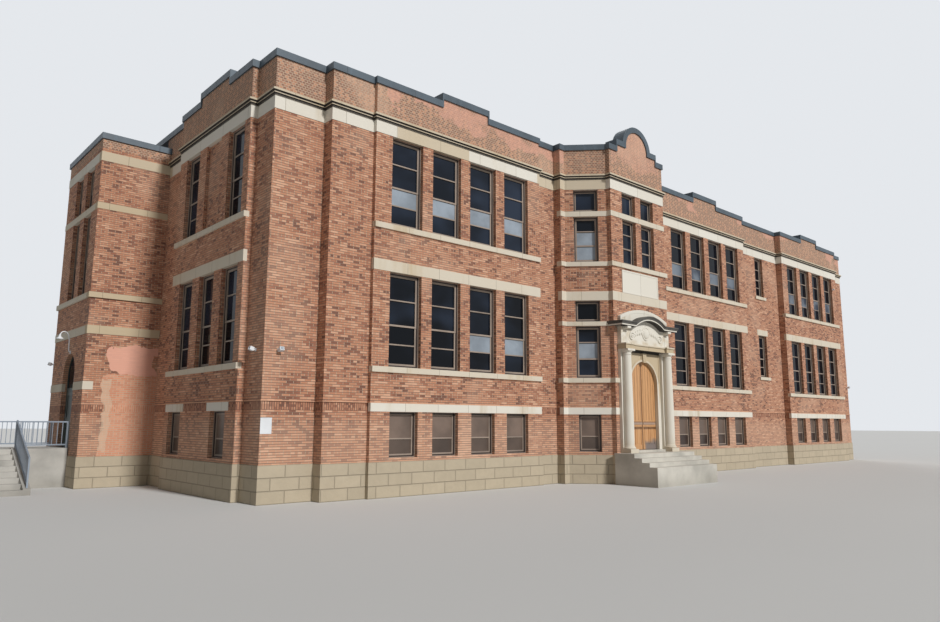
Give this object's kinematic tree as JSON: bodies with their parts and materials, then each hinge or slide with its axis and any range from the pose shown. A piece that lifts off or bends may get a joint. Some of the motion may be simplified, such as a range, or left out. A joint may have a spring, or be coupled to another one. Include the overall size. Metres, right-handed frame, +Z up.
{
  "type": "school building, scale model at 1:2",
  "caption": "Two-storey brick school over a raised basement, with a canted entrance bay, stone portal, side tower and arched doors that open inwards.",
  "frame": {"origin": "on the ground, in the plane of the front window bays, under the middle of the front door", "axes": "+X right along the front, +Y into the building, +Z up"},
  "size_m": [22.253, 12.2775, 6.78],
  "materials": {
    "brick": "matte",
    "limestone": "matte",
    "foundation_stone": "matte",
    "coping_metal": "satin",
    "window_frame_paint": "satin",
    "window_glass": "gloss",
    "oak": "satin",
    "door_paint": "satin",
    "hinge_steel": "satin",
    "railing_paint": "satin",
    "concrete": "matte",
    "floor_slab": "matte",
    "roof_felt": "matte"
  },
  "bodies": {
    "building": {"basement_floor": "floor_slab", "basement_glass": "window_glass", "basement_window_frames": "window_frame_paint", "belt_course": "brick", "coping": "coping_metal", "cornice": "limestone", "door_hinges": "hinge_steel", "entrance_hall_floor": "floor_slab", "entrance_jamb_left": "brick", "entrance_jamb_right": "brick", "entrance_upper_wall": "brick", "entrance_wall_left": "brick", "entrance_wall_right": "brick", "first_floor": "floor_slab", "first_storey_glass": "window_glass", "first_storey_window_frames": "window_frame_paint", "foundation": "foundation_stone", "frieze": "limestone", "front_door_frame": "oak", "front_steps": "limestone", "front_wall_left": "brick", "front_wall_right": "brick", "left_corner_pier": "brick", "left_side_front_wall": "brick", "left_side_rear_wall": "brick", "lintel_bands": "limestone", "name_plaque": "limestone", "pavilion_wall": "brick", "portal_columns": "limestone", "portal_hood": "limestone", "portal_panel": "limestone", "rear_left_pier": "brick", "rear_pavilion_wall": "brick", "rear_right_pier": "brick", "rear_wall": "brick", "recess_wall": "brick", "right_corner_pier": "brick", "right_side_wall": "brick", "roof": "roof_felt", "second_floor": "floor_slab", "second_storey_glass": "window_glass", "second_storey_window_frames": "window_frame_paint", "sill_bands": "limestone", "tower_door_frame": "door_paint", "tower_floor": "floor_slab", "tower_front_wall": "brick", "tower_jamb_front": "brick", "tower_jamb_rear": "brick", "tower_landing": "concrete", "tower_railings": "railing_paint", "tower_rear_wall": "brick", "tower_roof": "roof_felt", "tower_side_wall": "brick", "tower_step_curbs": "concrete", "tower_steps": "concrete", "transom_bands": "limestone"},
    "front_door_left": {"front_door_left": "oak"},
    "front_door_right": {"front_door_right": "oak"},
    "tower_door": {"tower_door": "door_paint"}
  },
  "joints": [
    {"name": "front_door_left_hinge", "type": "hinge", "parent": "building", "child": "front_door_left", "pos_m": [-0.4375, -0.6485, 0.58], "axis": [0, 0, 1], "range_deg": [0, 90]},
    {"name": "front_door_right_hinge", "type": "hinge", "parent": "building", "child": "front_door_right", "pos_m": [0.4375, -0.6485, 0.58], "axis": [0, 0, -1], "range_deg": [0, 90]},
    {"name": "tower_door_hinge", "type": "hinge", "parent": "building", "child": "tower_door", "pos_m": [-8.125, 4.8865, 0.63], "axis": [0, 0, -1], "range_deg": [0, 90]}
  ]
}
